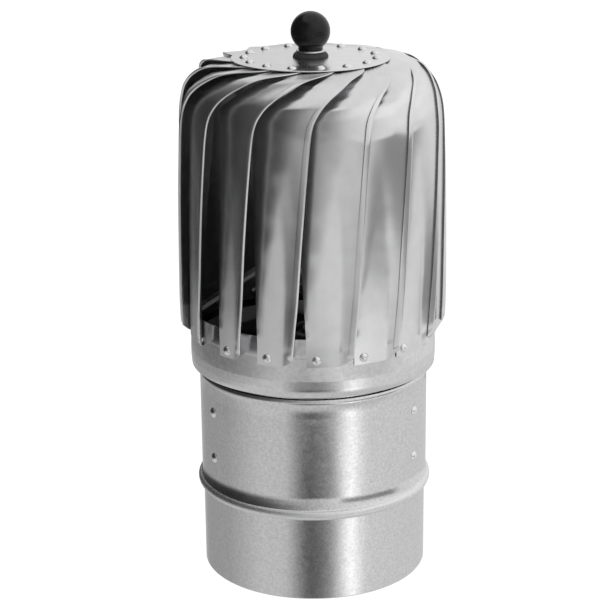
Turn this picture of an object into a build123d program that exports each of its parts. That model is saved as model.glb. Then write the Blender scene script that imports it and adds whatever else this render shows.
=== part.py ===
from build123d import *
import math
import os

# Roof turbine ventilator, 150 mm duct size.
# Millimetres, +Z up. Origin at the centre of the duct spigot's lower rim.
# Azimuths are measured from -Y (front), positive towards +X.

os.makedirs("parts", exist_ok=True)

# ---------------------------------------------------------------- dimensions
sheet_t = 0.8            # galvanised sheet of the base tube and rotor ring
r_spigot = 74.1          # spigot below the stop bead
r_tube = 75.0            # tube above the bead (nominal 150 mm)
r_bead = 77.7            # crest of the stop bead
z_bead_lo, z_bead_hi = 55.8, 62.4
z_tube_top = 137.2
z_shoulder = 133.0       # start of the rolled top shoulder

ring_r = 79.9            # rotor ring, upper cylinder
ring_z3 = 179.0

vane_t = 0.6             # polished vane sheet
vane_count = 15
tab_lead = 4.6           # degrees from a tab rivet to the vane's straight edge
rivet_z = 165.5          # tab rivets
disc_r = 50.45
disc_z0, disc_z1 = 339.65, 340.3
disc_rivet_r = 42.0
disc_rivet_phase = 8.0

axle_r = 5.0
axle_z0, axle_z1 = 96.0, 357.0

brg_bore, brg_od, brg_w = 5.0, 13.0, 8.0      # light-series 10 x 26 x 8 bearing
ball_r, ball_pitch_r, ball_n = 2.381, 9.0, 7
gap = 0.05
z_brg_lo, z_brg_hi = 107.0, 149.0             # lower faces of the two bearings

housing_r = 16.0
flange_r = 32.0
flange_z0, flange_z1 = 128.0, 131.0
leg_t, leg_w = 2.5, 20.0
leg_az = (-60.0, 60.0, 180.0)
leg_rivet_z = (84.0, 115.6)

arm_az = (-81.5, 38.5, 158.5)
arm_w, arm_t = 9.0, 2.0
hub_z0, hub_z1, hub_z2 = 205.0, 208.0, 222.0

# hand-set azimuths of the fifteen vanes: outer edge at mid height, tab rivet
hem_az = (-0.6, 24.7, 46.1, 71.2, 95.4, 119.4, 143.4, 167.4,
          191.4, 215.4, 239.4, 263.2, 286.2, 309.0, 334.6)
tab_az = (-20.8, 1.55, 23.0, 45.0, 68.5, 93.4, 118.4, 143.3,
          168.3, 193.2, 218.1, 243.1, 268.0, 293.0, 317.9)

# vane stations from foot to tip, outer face of the sheet:
# (z, r) of the flared outer edge, (z, r) of the main panel,
# sweep of the outer edge in degrees, angular width of the flare
stations = (
    (161.0, 80.7, 161.0, 80.7, -9.8, 5.0),
    (165.0, 80.8, 165.0, 80.7, -9.6, 5.0),
    (169.0, 81.7, 169.0, 80.7, -9.4, 5.0),
    (174.0, 84.2, 174.0, 80.7, -9.1, 5.2),
    (179.0, 86.0, 179.0, 80.7, -8.8, 5.4),
    (188.0, 86.8, 188.0, 80.7, -8.2, 5.6),
    (205.0, 86.7, 205.0, 80.7, -6.8, 6.2),
    (230.0, 86.4, 230.0, 80.7, -4.8, 7.5),
    (255.0, 86.0, 255.0, 80.7, -3.1, 10.0),
    (280.0, 85.3, 280.0, 80.7, -1.4, 14.0),
    (300.0, 84.6, 298.0, 80.7, 0.0, 18.0),
    (309.0, 83.7, 307.0, 80.3, 0.8, 20.0),
    (314.0, 82.7, 312.0, 79.8, 1.7, 21.0),
    (318.6, 81.4, 316.5, 78.8, 3.4, 22.0),
    (322.5, 80.0, 320.0, 77.5, 5.4, 23.0),
    (325.4, 78.4, 323.0, 75.8, 7.5, 24.0),
    (328.2, 76.7, 325.6, 73.8, 10.0, 24.0),
    (330.6, 75.0, 327.8, 71.7, 12.8, 24.0),
    (333.0, 72.9, 330.0, 69.4, 15.8, 24.0),
    (335.2, 70.4, 332.2, 66.8, 18.8, 24.0),
    (337.2, 67.2, 334.6, 63.5, 22.2, 24.0),
    (338.5, 62.8, 336.4, 59.8, 27.5, 24.0),
    (339.1, 57.5, 337.6, 55.5, 34.0, 24.0),
    (339.4, 52.0, 338.2, 51.2, 39.6, 24.0),
    (339.55, 46.0, 338.45, 46.0, 44.4, 24.0),
    (339.6, 41.0, 338.5, 41.0, 47.8, 24.0),
    (339.6, 36.0, 338.5, 36.0, 50.0, 24.0),
)
last = len(stations) - 1


def at_station(t, col):
    """Monotone cubic through one column of the station table."""
    y = [s[col] for s in stations]
    i = min(int(t), last - 1)
    d = [y[j + 1] - y[j] for j in range(last)]

    def slope(j):
        if j == 0:
            return d[0]
        if j == last:
            return d[last - 1]
        if d[j - 1] * d[j] <= 0:
            return 0.0
        return 2 * d[j - 1] * d[j] / (d[j - 1] + d[j])

    u = t - i
    m0, m1 = slope(i), slope(i + 1)
    return ((2 * u**3 - 3 * u**2 + 1) * y[i] + (u**3 - 2 * u**2 + u) * m0
            + (3 * u**2 - 2 * u**3) * y[i + 1] + (u**3 - u**2) * m1)


def smooth(x):
    x = max(0.0, min(1.0, x))
    return x * x * (3 - 2 * x)


def vane_width(k, t):
    """Angular width of vane k at station t."""
    hem = hem_az[k] + at_station(t, 4)
    left = tab_az[k] - tab_lead
    prev = hem_az[k - 1] - (360.0 if k == 0 else 0.0)
    top = hem_az[k] - prev + 3.0
    b = smooth((t - 9.0) / 5.0)
    return (hem - left) * (1 - b) + top * b


def flare(a, w):
    e = 0.15
    x = 1.0 - a / w
    return (x + math.sqrt(x * x + e * e)) / (1 + math.sqrt(1 + e * e))


def vane_point(k, t, a):
    """Outer-face point of vane k, station t, a degrees in from its edge."""
    zh, rh, zp, rp = (at_station(t, c) for c in range(4))
    f = flare(a, at_station(t, 5))
    az = math.radians(hem_az[k] + at_station(t, 4) - a)
    r = rp + f * (rh - rp)
    z = zp + f * (zh - zp)
    return (r * math.sin(az), -r * math.cos(az), z)


def polar(r, az, z=0.0):
    a = math.radians(az)
    return (r * math.sin(a), -r * math.cos(a), z)


def radial_plane(az, z=0.0, r=0.0):
    """Plane whose X runs outward at azimuth az and whose Y runs up."""
    a = math.radians(az)
    out = (math.sin(a), -math.cos(a), 0)
    side = (math.cos(a), math.sin(a), 0)      # increasing azimuth
    return Plane(origin=polar(r, az, z), x_dir=out, z_dir=(-side[0], -side[1], 0))


def outward_plane(az, z, r):
    """Plane at radius r facing outward, X along increasing azimuth."""
    a = math.radians(az)
    return Plane(origin=polar(r, az, z), x_dir=(math.cos(a), math.sin(a), 0),
                 z_dir=(math.sin(a), -math.cos(a), 0))


def dome(base, radius, height):
    """Middle point of a spherical cap's profile: (along the axis, half width)."""
    big = (radius**2 + height**2) / (2 * height)
    half = math.asin(min(1.0, radius / big)) / 2
    return (base + height - big + big * math.cos(half), big * math.sin(half))


def finish(builder, label):
    builder.part.label = label
    export_step(builder.part, "parts/" + label + ".step")
    print(label, len(builder.part.solids()), round(builder.part.volume, 1))


# ---------------------------------------------------------------- base tube
with BuildPart() as base_tube:
    with BuildSketch(Plane.XZ):
        with BuildLine():
            Line((r_spigot, 0), (r_spigot, z_bead_lo))
            ThreePointArc((r_spigot, z_bead_lo),
                          (r_bead, (z_bead_lo + z_bead_hi) / 2),
                          (r_tube, z_bead_hi))
            Line((r_tube, z_bead_hi), (r_tube, z_shoulder))
            ThreePointArc((r_tube, z_shoulder), (r_tube + 0.5, 135.0),
                          (r_tube - 0.1, z_tube_top))
            Line((r_tube - 0.1, z_tube_top), (r_tube - sheet_t, z_tube_top))
            Line((r_tube - sheet_t, z_tube_top), (r_tube - sheet_t, z_bead_hi - 0.5))
            ThreePointArc((r_tube - sheet_t, z_bead_hi - 0.5),
                          (r_bead - sheet_t, (z_bead_lo + z_bead_hi) / 2),
                          (r_spigot - sheet_t, z_bead_lo + 0.5))
            Line((r_spigot - sheet_t, z_bead_lo + 0.5), (r_spigot - sheet_t, 0))
            Line((r_spigot - sheet_t, 0), (r_spigot, 0))
        make_face()
    revolve(axis=Axis.Z)
    for az in leg_az:
        for z in leg_rivet_z:
            with BuildSketch(outward_plane(az, z, r_tube - 5)):
                Circle(2.05)
            extrude(amount=10, mode=Mode.SUBTRACT)
finish(base_tube, "base_tube")

# ---------------------------------------------------------------- bracket legs
wall_in = r_tube - sheet_t - 0.06
leg_rivets = []
for n, az in enumerate(leg_az, start=1):
    with BuildPart() as leg:
        # strip bent from the tube wall inward under the housing flange
        with BuildSketch(radial_plane(az)):
            with BuildLine():
                FilletPolyline((wall_in + 1.5, 72.0), (wall_in + 1.5, flange_z0),
                               (18.5, flange_z0), radius=7.5)
                FilletPolyline((wall_in - leg_t, 72.0),
                               (wall_in - leg_t, flange_z0 - leg_t),
                               (18.5, flange_z0 - leg_t), radius=4.0)
                Line((wall_in + 1.5, 72.0), (wall_in - leg_t, 72.0))
                Line((18.5, flange_z0), (18.5, flange_z0 - leg_t))
            make_face()
        extrude(amount=leg_w / 2, both=True)
        # follow the round wall of the tube
        with BuildSketch(Plane.XY.offset(60)):
            Circle(wall_in)
        extrude(amount=80, mode=Mode.INTERSECT)
        for z in leg_rivet_z:
            with BuildSketch(outward_plane(az, z, 65)):
                Circle(2.05)
            extrude(amount=12, mode=Mode.SUBTRACT)
        with BuildSketch(Plane(origin=polar(25.0, az, flange_z0 - 4), z_dir=(0, 0, 1))):
            Circle(2.7)
        extrude(amount=8, mode=Mode.SUBTRACT)
    finish(leg, "bracket_leg_%d" % n)

with BuildPart() as bracket_rivets:
    for az in leg_az:
        for z in leg_rivet_z:
            # domed head outside, shank, upset tail inside
            with BuildSketch(radial_plane(az, z)):
                with BuildLine():
                    Line((wall_in - leg_t - 1.6, 0), (wall_in - leg_t - 1.6, 2.4))
                    Line((wall_in - leg_t - 1.6, 2.4), (wall_in - leg_t - 0.3, 3.0))
                    Line((wall_in - leg_t - 0.3, 3.0), (wall_in - leg_t, 3.0))
                    Line((wall_in - leg_t, 3.0), (wall_in - leg_t, 2.0))
                    Line((wall_in - leg_t, 2.0), (r_tube + 0.02, 2.0))
                    Line((r_tube + 0.02, 2.0), (r_tube + 0.02, 3.4))
                    ThreePointArc((r_tube + 0.02, 3.4), dome(r_tube + 0.02, 3.4, 1.68),
                                  (r_tube + 1.7, 0))
                    Line((r_tube + 1.7, 0), (wall_in - leg_t - 1.6, 0))
                make_face()
            ax = Axis(polar(0, az, z), polar(1, az, 0))
            revolve(axis=ax)
finish(bracket_rivets, "bracket_rivets")

# ---------------------------------------------------------------- bearing housing
seat_r = brg_od + 0.01
with BuildPart() as bearing_housing:
    with BuildSketch(Plane.XZ):
        with BuildLine():
            Polyline((11.4, z_brg_lo + brg_w), (11.4, z_brg_hi), (seat_r, z_brg_hi),
                     (seat_r, z_brg_hi + brg_w + 0.1), (13.8, z_brg_hi + brg_w + 0.1),
                     (13.8, z_brg_hi + brg_w + 1.4), (seat_r, z_brg_hi + brg_w + 1.4),
                     (seat_r, 160.5), (housing_r - 0.8, 160.5), (housing_r, 159.7),
                     (housing_r, flange_z1), (flange_r, flange_z1),
                     (flange_r, flange_z0), (housing_r, flange_z0),
                     (housing_r, 104.3), (housing_r - 0.8, 103.5),
                     (seat_r, 103.5), (seat_r, z_brg_lo - 1.4),
                     (13.8, z_brg_lo - 1.4), (13.8, z_brg_lo - 0.1),
                     (seat_r, z_brg_lo - 0.1), (seat_r, z_brg_lo + brg_w),
                     (11.4, z_brg_lo + brg_w))
        make_face()
    revolve(axis=Axis.Z)
    for az in leg_az:
        with BuildSketch(Plane(origin=polar(25.0, az, flange_z0 - 1), z_dir=(0, 0, 1))):
            Circle(2.7)
        extrude(amount=6, mode=Mode.SUBTRACT)
finish(bearing_housing, "bearing_housing")

with BuildPart() as housing_bolts:
    for az in leg_az:
        x, y, _ = polar(25.0, az)
        with BuildSketch(Plane(origin=(x, y, flange_z1), z_dir=(0, 0, 1))):
            RegularPolygon(4.6, 6)
        extrude(amount=3.5)
        with BuildSketch(Plane(origin=(x, y, 118.5), z_dir=(0, 0, 1))):
            Circle(2.5)
        extrude(amount=flange_z1 - 118.5)
finish(housing_bolts, "housing_bolts")

with BuildPart() as housing_nuts:
    for az in leg_az:
        x, y, _ = polar(25.0, az)
        with BuildSketch(Plane(origin=(x, y, flange_z0 - leg_t - 4.0), z_dir=(0, 0, 1))):
            RegularPolygon(4.6, 6)
            Circle(2.55, mode=Mode.SUBTRACT)
        extrude(amount=4.0)
finish(housing_nuts, "housing_nuts")


# ---------------------------------------------------------------- bearings
def ring_profile(points):
    with BuildPart() as ring:
        with BuildSketch(Plane.XZ):
            with BuildLine():
                Polyline(*points, close=True)
            make_face()
        revolve(axis=Axis.Z)
    return ring


for place, z0 in (("lower", z_brg_lo), ("upper", z_brg_hi)):
    zm, z1 = z0 + brg_w / 2, z0 + brg_w
    with BuildPart() as outer_race:
        with BuildSketch(Plane.XZ):
            with BuildLine():
                Polyline((brg_od, z0), (brg_od, z1), (11.6, z1), (11.6, z1 - 0.9),
                         (10.7, z1 - 0.9), (10.7, z0 + 0.9), (11.6, z0 + 0.9),
                         (11.6, z0), close=True)
            make_face()
        revolve(axis=Axis.Z)
        with BuildSketch(Plane.XZ):
            with Locations((ball_pitch_r, zm)):
                Circle(ball_r + gap)
        revolve(axis=Axis.Z, mode=Mode.SUBTRACT)
    finish(outer_race, place + "_bearing_outer_race")

    with BuildPart() as inner_race:
        with BuildSketch(Plane.XZ):
            with BuildLine():
                Polyline((brg_bore, z0), (brg_bore, z1), (7.3, z1), (7.3, z0), close=True)
            make_face()
        revolve(axis=Axis.Z)
        with BuildSketch(Plane.XZ):
            with Locations((ball_pitch_r, zm)):
                Circle(ball_r + gap)
        revolve(axis=Axis.Z, mode=Mode.SUBTRACT)
    finish(inner_race, place + "_bearing_inner_race")

    with BuildPart() as balls:
        for i in range(ball_n):
            with Locations(polar(ball_pitch_r, 360.0 * i / ball_n, zm)):
                Sphere(ball_r)
    finish(balls, place + "_bearing_balls")

    with BuildPart() as cage:
        with BuildSketch(Plane.XY.offset(zm - 2.75)):
            Circle(9.7)
            Circle(8.3, mode=Mode.SUBTRACT)
        extrude(amount=5.5)
        for i in range(ball_n):
            with BuildSketch(outward_plane(360.0 * i / ball_n, zm, 5)):
                Circle(ball_r + 0.04)
            extrude(amount=8, mode=Mode.SUBTRACT)
    finish(cage, place + "_bearing_cage")

    with BuildPart() as shields:
        for zs in (z0 + 0.25, z1 - 0.65):
            with BuildSketch(Plane.XY.offset(zs)):
                Circle(11.55)
                Circle(7.5, mode=Mode.SUBTRACT)
            extrude(amount=0.4)
    finish(shields, place + "_bearing_shields")

    zr = z0 - 1.35 if place == "lower" else z1 + 0.15
    with BuildPart() as circlip:
        with BuildSketch(Plane.XY.offset(zr)):
            Circle(13.7)
            Circle(11.7, mode=Mode.SUBTRACT)
            with Locations((0, -13)):
                Rectangle(7, 6, mode=Mode.SUBTRACT)
        extrude(amount=1.2)
    finish(circlip, place + "_retaining_ring")

# ---------------------------------------------------------------- axle group
with BuildPart() as axle:
    with BuildSketch(Plane.XZ):
        with BuildLine():
            Polyline((0, axle_z0), (axle_r - 0.8, axle_z0), (axle_r, axle_z0 + 0.8),
                     (axle_r, z_brg_hi + brg_w), (7.0, z_brg_hi + brg_w),
                     (7.0, 161.0), (axle_r, 161.0), (axle_r, axle_z1 - 0.8),
                     (axle_r - 0.8, axle_z1), (0, axle_z1), close=True)
        make_face()
    revolve(axis=Axis.Z)
finish(axle, "axle")

with BuildPart() as bearing_spacer:
    with BuildSketch(Plane.XY.offset(z_brg_lo + brg_w)):
        Circle(7.0)
        Circle(axle_r + 0.02, mode=Mode.SUBTRACT)
    extrude(amount=z_brg_hi - z_brg_lo - brg_w)
finish(bearing_spacer, "bearing_spacer")

with BuildPart() as axle_washer:
    with BuildSketch(Plane.XY.offset(z_brg_lo - 1.5)):
        Circle(7.2)
        Circle(axle_r + 0.02, mode=Mode.SUBTRACT)
    extrude(amount=1.5)
finish(axle_washer, "axle_washer")

with BuildPart() as axle_locknut:
    with BuildSketch(Plane.XY.offset(z_brg_lo - 9.5)):
        RegularPolygon(9.2, 6)
        Circle(axle_r + 0.02, mode=Mode.SUBTRACT)
    extrude(amount=8.0)
    chamfer(axle_locknut.faces().sort_by(Axis.Z)[0].outer_wire().edges(), length=0.6)
finish(axle_locknut, "axle_locknut")

# ---------------------------------------------------------------- spider
with BuildPart() as spider_hub:
    with BuildSketch(Plane.XZ):
        with BuildLine():
            Polyline((axle_r + 0.02, hub_z0), (24.0, hub_z0), (24.0, hub_z1),
                     (12.0, hub_z1), (12.0, hub_z2 - 0.8), (11.2, hub_z2),
                     (axle_r + 0.02, hub_z2), close=True)
        make_face()
    revolve(axis=Axis.Z)
    for az in arm_az:
        with BuildSketch(Plane(origin=polar(18.0, az, hub_z0 - 1), z_dir=(0, 0, 1))):
            Circle(2.2)
        extrude(amount=6, mode=Mode.SUBTRACT)
    # tapped hole for the set screw
    with BuildSketch(outward_plane(100.0, 215.0, axle_r)):
        Circle(2.0)
    extrude(amount=10, mode=Mode.SUBTRACT)
finish(spider_hub, "spider_hub")

with BuildPart() as hub_set_screw:
    with BuildSketch(outward_plane(100.0, 215.0, axle_r + 0.05)):
        Circle(1.97)
    extrude(amount=7.6)
    with BuildSketch(outward_plane(100.0, 215.0, axle_r + 4.65)):
        RegularPolygon(1.15, 6)
    extrude(amount=4, mode=Mode.SUBTRACT)
finish(hub_set_screw, "hub_set_screw")

ring_in = ring_r - sheet_t - 0.06
slope_top, slope_out = 208.0, 174.0
for n, az in enumerate(arm_az, start=1):
    with BuildPart() as arm:
        with BuildSketch(radial_plane(az)):
            with BuildLine():
                FilletPolyline((12.3, hub_z1 + arm_t), (26.5, hub_z1 + arm_t),
                               (ring_in + 0.6, 176.5), (ring_in + 0.6, 163.0), radius=3.0)
                FilletPolyline((12.3, hub_z1), (25.8, hub_z1),
                               (ring_in - arm_t, 175.2), (ring_in - arm_t, 163.0), radius=2.0)
                Line((12.3, hub_z1 + arm_t), (12.3, hub_z1))
                Line((ring_in + 0.6, 163.0), (ring_in - arm_t, 163.0))
            make_face()
        extrude(amount=arm_w / 2, both=True)
        with BuildSketch(Plane.XY.offset(150)):
            Circle(ring_in)
            Circle(12.15, mode=Mode.SUBTRACT)
        extrude(amount=80, mode=Mode.INTERSECT)
        with BuildSketch(Plane(origin=polar(18.0, az, hub_z1 - 1), z_dir=(0, 0, 1))):
            Circle(2.2)
        extrude(amount=6, mode=Mode.SUBTRACT)
        with BuildSketch(outward_plane(az, 168.5, 70)):
            Circle(1.65)
        extrude(amount=14, mode=Mode.SUBTRACT)
    finish(arm, "spider_arm_%d" % n)

with BuildPart() as arm_bolts:
    for az in arm_az:
        x, y, _ = polar(18.0, az)
        with BuildSketch(Plane(origin=(x, y, hub_z1 + arm_t), z_dir=(0, 0, 1))):
            RegularPolygon(3.9, 6)
        extrude(amount=2.8)
        with BuildSketch(Plane(origin=(x, y, 197.0), z_dir=(0, 0, 1))):
            Circle(2.0)
        extrude(amount=hub_z1 + arm_t - 197.0)
finish(arm_bolts, "arm_bolts")

with BuildPart() as arm_nuts:
    for az in arm_az:
        x, y, _ = polar(18.0, az)
        with BuildSketch(Plane(origin=(x, y, hub_z0 - 3.2), z_dir=(0, 0, 1))):
            RegularPolygon(3.9, 6)
            Circle(2.05, mode=Mode.SUBTRACT)
        extrude(amount=3.2)
finish(arm_nuts, "arm_nuts")


# rivet half sections: (radius outward, half width) for tail and shank
def tail_points(r_in, r_out, shank, head, tail):
    return ((r_in - 1.4, 0), (r_in - 1.4, tail - 0.5), (r_in - 0.3, tail),
            (r_in, tail), (r_in, shank), (r_out, shank), (r_out, head))


with BuildPart() as arm_rivets:
    for az in arm_az:
        r_in, r_out = ring_in - arm_t, ring_r + 0.02
        with BuildSketch(radial_plane(az, 168.5)):
            with BuildLine():
                Polyline(*tail_points(r_in, r_out, 1.6, 2.3, 2.3))
                ThreePointArc((r_out, 2.3), dome(r_out, 2.3, 0.5), (r_out + 0.5, 0))
                Line((r_out + 0.5, 0), (r_in - 1.4, 0))
            make_face()
        revolve(axis=Axis(polar(0, az, 168.5), polar(1, az, 0)))
finish(arm_rivets, "arm_rivets")

# ---------------------------------------------------------------- rotor ring
with BuildPart() as rotor_ring:
    with BuildSketch(Plane.XZ):
        with BuildLine():
            FilletPolyline((79.95, 140.7), (80.4, 144.8), (80.4, 150.4),
                           (ring_r, 152.4), (ring_r, ring_z3), radius=0.9)
            Line((ring_r, ring_z3), (ring_r - sheet_t, ring_z3))
            FilletPolyline((ring_r - sheet_t, ring_z3), (ring_r - sheet_t, 152.4),
                           (80.4 - sheet_t, 150.4), (80.4 - sheet_t, 144.8),
                           (79.95 - sheet_t, 140.7), radius=0.9)
            Line((79.95 - sheet_t, 140.7), (79.95, 140.7))
        make_face()
    revolve(axis=Axis.Z)
    for az in tab_az:
        with BuildSketch(outward_plane(az, rivet_z, 75)):
            Circle(1.65)
        extrude(amount=8, mode=Mode.SUBTRACT)
    for az in arm_az:
        with BuildSketch(outward_plane(az, 168.5, 75)):
            Circle(1.65)
        extrude(amount=8, mode=Mode.SUBTRACT)
finish(rotor_ring, "rotor_ring")

# funnel skirt fixed inside the ring, hanging just inside the top of the tube
with BuildPart() as weather_skirt:
    with BuildSketch(Plane.XZ):
        with BuildLine():
            Polyline((ring_in - 0.05, 160.2), (ring_in - 0.05, 154.6), (73.4, 146.6),
                     (73.4, 131.5), (72.6, 131.5), (72.6, 147.0),
                     (ring_in - 0.85, 155.0), (ring_in - 0.85, 160.2), close=True)
        make_face()
    revolve(axis=Axis.Z)
finish(weather_skirt, "weather_skirt")

with BuildPart() as ring_rivets:
    for az in tab_az:
        r_in, r_out = ring_r - sheet_t - 0.1, 80.8
        with BuildSketch(radial_plane(az, rivet_z)):
            with BuildLine():
                Polyline(*tail_points(r_in, r_out, 1.6, 3.0, 2.4))
                ThreePointArc((r_out, 3.0), dome(r_out, 3.0, 1.7), (r_out + 1.7, 0))
                Line((r_out + 1.7, 0), (r_in - 1.4, 0))
            make_face()
        revolve(axis=Axis(polar(0, az, rivet_z), polar(1, az, 0)))
finish(ring_rivets, "ring_rivets")

# ---------------------------------------------------------------- vanes
n_across, n_along = 10, 34
t_rivet = 24.0 + (46.0 - disc_rivet_r) / 5.0


def vane_depth_at_rivet(k):
    """Azimuth of the tip rivet of vane k and the sheet's outer height there."""
    az = disc_rivet_phase + 24.0 * (k + 1)
    a = hem_az[k] + at_station(t_rivet, 4) - az
    return az, vane_point(k, t_rivet, a)[2]


def vane_grids(k):
    """Rows of points on the outer and inner faces of vane k."""
    outer, inner = [], []
    for i in range(n_across + 1):
        # points crowd towards the flared edge
        s = (i / n_across) ** 1.25
        row_out, row_in = [], []
        for j in range(n_along + 1):
            t = last * j / n_along
            w = vane_width(k, t)
            a = s * w
            p = Vector(*vane_point(k, t, a))
            along = (Vector(*vane_point(k, min(last, t + 0.02), a))
                     - Vector(*vane_point(k, max(0, t - 0.02), a)))
            across = (Vector(*vane_point(k, t, max(0, a - 0.1)))
                      - Vector(*vane_point(k, t, min(w, a + 0.1))))
            normal = across.cross(along).normalized()
            row_out.append(p)
            row_in.append(p - normal * vane_t)
        outer.append(row_out)
        inner.append(row_in)
    return outer, inner


for k in range(vane_count):
    outer, inner = vane_grids(k)
    skin_out = Face.make_surface_from_array_of_points(outer, tol=0.03, min_deg=3, max_deg=3)
    skin_in = Face.make_surface_from_array_of_points(inner, tol=0.03, min_deg=3, max_deg=3)
    rims = []
    for edge in skin_out.edges():
        mate = min(skin_in.edges(), key=lambda e: (e @ 0.5 - edge @ 0.5).length)
        rims.append(Face.make_surface_from_curves(edge, mate))
    az, z_tip = vane_depth_at_rivet(k)
    with BuildPart() as vane:
        add(Solid(Shell([skin_out, skin_in] + rims)))
        with BuildSketch(outward_plane(tab_az[k], rivet_z, 75)):
            Circle(1.65)
        extrude(amount=8, mode=Mode.SUBTRACT)
        with BuildSketch(Plane(origin=polar(disc_rivet_r, az, 334), z_dir=(0, 0, 1))):
            Circle(1.65)
        extrude(amount=8, mode=Mode.SUBTRACT)
    finish(vane, "vane_%02d" % (k + 1))

# ---------------------------------------------------------------- top disc
with BuildPart() as top_disc:
    with BuildSketch(Plane.XY.offset(disc_z0)):
        Circle(disc_r)
        Circle(axle_r + 0.1, mode=Mode.SUBTRACT)
        with PolarLocations(disc_rivet_r, vane_count,
                            start_angle=disc_rivet_phase - 90.0):
            Circle(1.65, mode=Mode.SUBTRACT)
    extrude(amount=disc_z1 - disc_z0)
finish(top_disc, "top_disc")

with BuildPart() as disc_rivets:
    for k in range(vane_count):
        az, z_tip = vane_depth_at_rivet(k)
        x, y, _ = polar(disc_rivet_r, az)
        z_tail = z_tip - vane_t - 0.2
        with BuildSketch(Plane(origin=(x, y, 0), x_dir=(1, 0, 0), z_dir=(0, -1, 0))):
            with BuildLine():
                Line((0, z_tail - 1.4), (2.0, z_tail - 1.4))
                Line((2.0, z_tail - 1.4), (2.4, z_tail - 0.4))
                Line((2.4, z_tail - 0.4), (2.4, z_tail))
                Line((2.4, z_tail), (1.6, z_tail))
                Line((1.6, z_tail), (1.6, disc_z1 + 0.02))
                Line((1.6, disc_z1 + 0.02), (2.7, disc_z1 + 0.02))
                ThreePointArc((2.7, disc_z1 + 0.02), dome(disc_z1 + 0.02, 2.7, 1.68)[::-1],
                              (0, disc_z1 + 1.7))
                Line((0, disc_z1 + 1.7), (0, z_tail - 1.4))
            make_face()
        revolve(axis=Axis((x, y, 0), (0, 0, 1)))
finish(disc_rivets, "disc_rivets")

with BuildPart() as disc_washer:
    with BuildSketch(Plane.XY.offset(disc_z0 - 1.65)):
        Circle(10.5)
        Circle(axle_r + 0.1, mode=Mode.SUBTRACT)
    extrude(amount=1.6)
finish(disc_washer, "disc_washer")

with BuildPart() as disc_nut:
    with BuildSketch(Plane.XY.offset(disc_z0 - 9.7)):
        RegularPolygon(9.2, 6)
        Circle(axle_r + 0.02, mode=Mode.SUBTRACT)
    extrude(amount=8.0)
    chamfer(disc_nut.faces().sort_by(Axis.Z)[0].outer_wire().edges(), length=0.6)
finish(disc_nut, "disc_nut")

# ---------------------------------------------------------------- knob group
with BuildPart() as seal_collar:
    with BuildSketch(Plane.XZ):
        with BuildLine():
            Line((axle_r + 0.02, disc_z1 + 0.02), (11.3, disc_z1 + 0.02))
            ThreePointArc((11.3, disc_z1 + 0.02), (10.6, 342.4), (8.6, 343.6))
            Line((8.6, 343.6), (axle_r + 0.02, 343.6))
            Line((axle_r + 0.02, 343.6), (axle_r + 0.02, disc_z1 + 0.02))
        make_face()
    revolve(axis=Axis.Z)
finish(seal_collar, "seal_collar")

with BuildPart() as knob_washer:
    with BuildSketch(Plane.XY.offset(343.65)):
        Circle(9.2)
        Circle(axle_r + 0.1, mode=Mode.SUBTRACT)
    extrude(amount=1.2)
finish(knob_washer, "knob_washer")

knob_z, knob_r = 356.5, 12.5
neck_r, neck_z0 = 7.4, 344.9
z_join = knob_z - math.sqrt(knob_r**2 - neck_r**2)
with BuildPart() as ball_knob:
    with BuildSketch(Plane.XZ):
        with BuildLine():
            Line((0, 358.2), (0, knob_z + knob_r))
            ThreePointArc((0, knob_z + knob_r), (knob_r, knob_z), (neck_r, z_join))
            Line((neck_r, z_join), (neck_r, neck_z0))
            Line((neck_r, neck_z0), (6.6, neck_z0))
            Line((6.6, neck_z0), (6.6, 358.2))
            Line((6.6, 358.2), (0, 358.2))
        make_face()
    revolve(axis=Axis.Z)
finish(ball_knob, "ball_knob")

with BuildPart() as knob_insert:
    with BuildSketch(Plane.XZ):
        with BuildLine():
            Polyline((axle_r + 0.02, 345.0), (6.55, 345.0), (6.55, 358.1), (0, 358.1),
                     (0, 357.1), (axle_r + 0.02, 357.1), close=True)
        make_face()
    revolve(axis=Axis.Z)
finish(knob_insert, "knob_insert")
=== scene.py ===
import math

import bpy
import numpy as np
from mathutils import Matrix, Vector


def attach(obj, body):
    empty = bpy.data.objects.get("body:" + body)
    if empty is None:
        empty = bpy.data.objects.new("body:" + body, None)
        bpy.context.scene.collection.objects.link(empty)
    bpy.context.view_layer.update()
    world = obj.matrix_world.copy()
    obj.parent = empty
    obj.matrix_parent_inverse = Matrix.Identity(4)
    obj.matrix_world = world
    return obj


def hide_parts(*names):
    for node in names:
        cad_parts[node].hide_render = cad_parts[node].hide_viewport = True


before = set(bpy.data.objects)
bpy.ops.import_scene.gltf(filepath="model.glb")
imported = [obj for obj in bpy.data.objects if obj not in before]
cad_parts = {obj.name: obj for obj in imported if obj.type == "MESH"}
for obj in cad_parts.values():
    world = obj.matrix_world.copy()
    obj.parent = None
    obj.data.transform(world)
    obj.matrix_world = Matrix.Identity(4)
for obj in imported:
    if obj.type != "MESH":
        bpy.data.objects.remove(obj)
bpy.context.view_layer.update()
scene = bpy.context.scene
MM = 0.001

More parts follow.
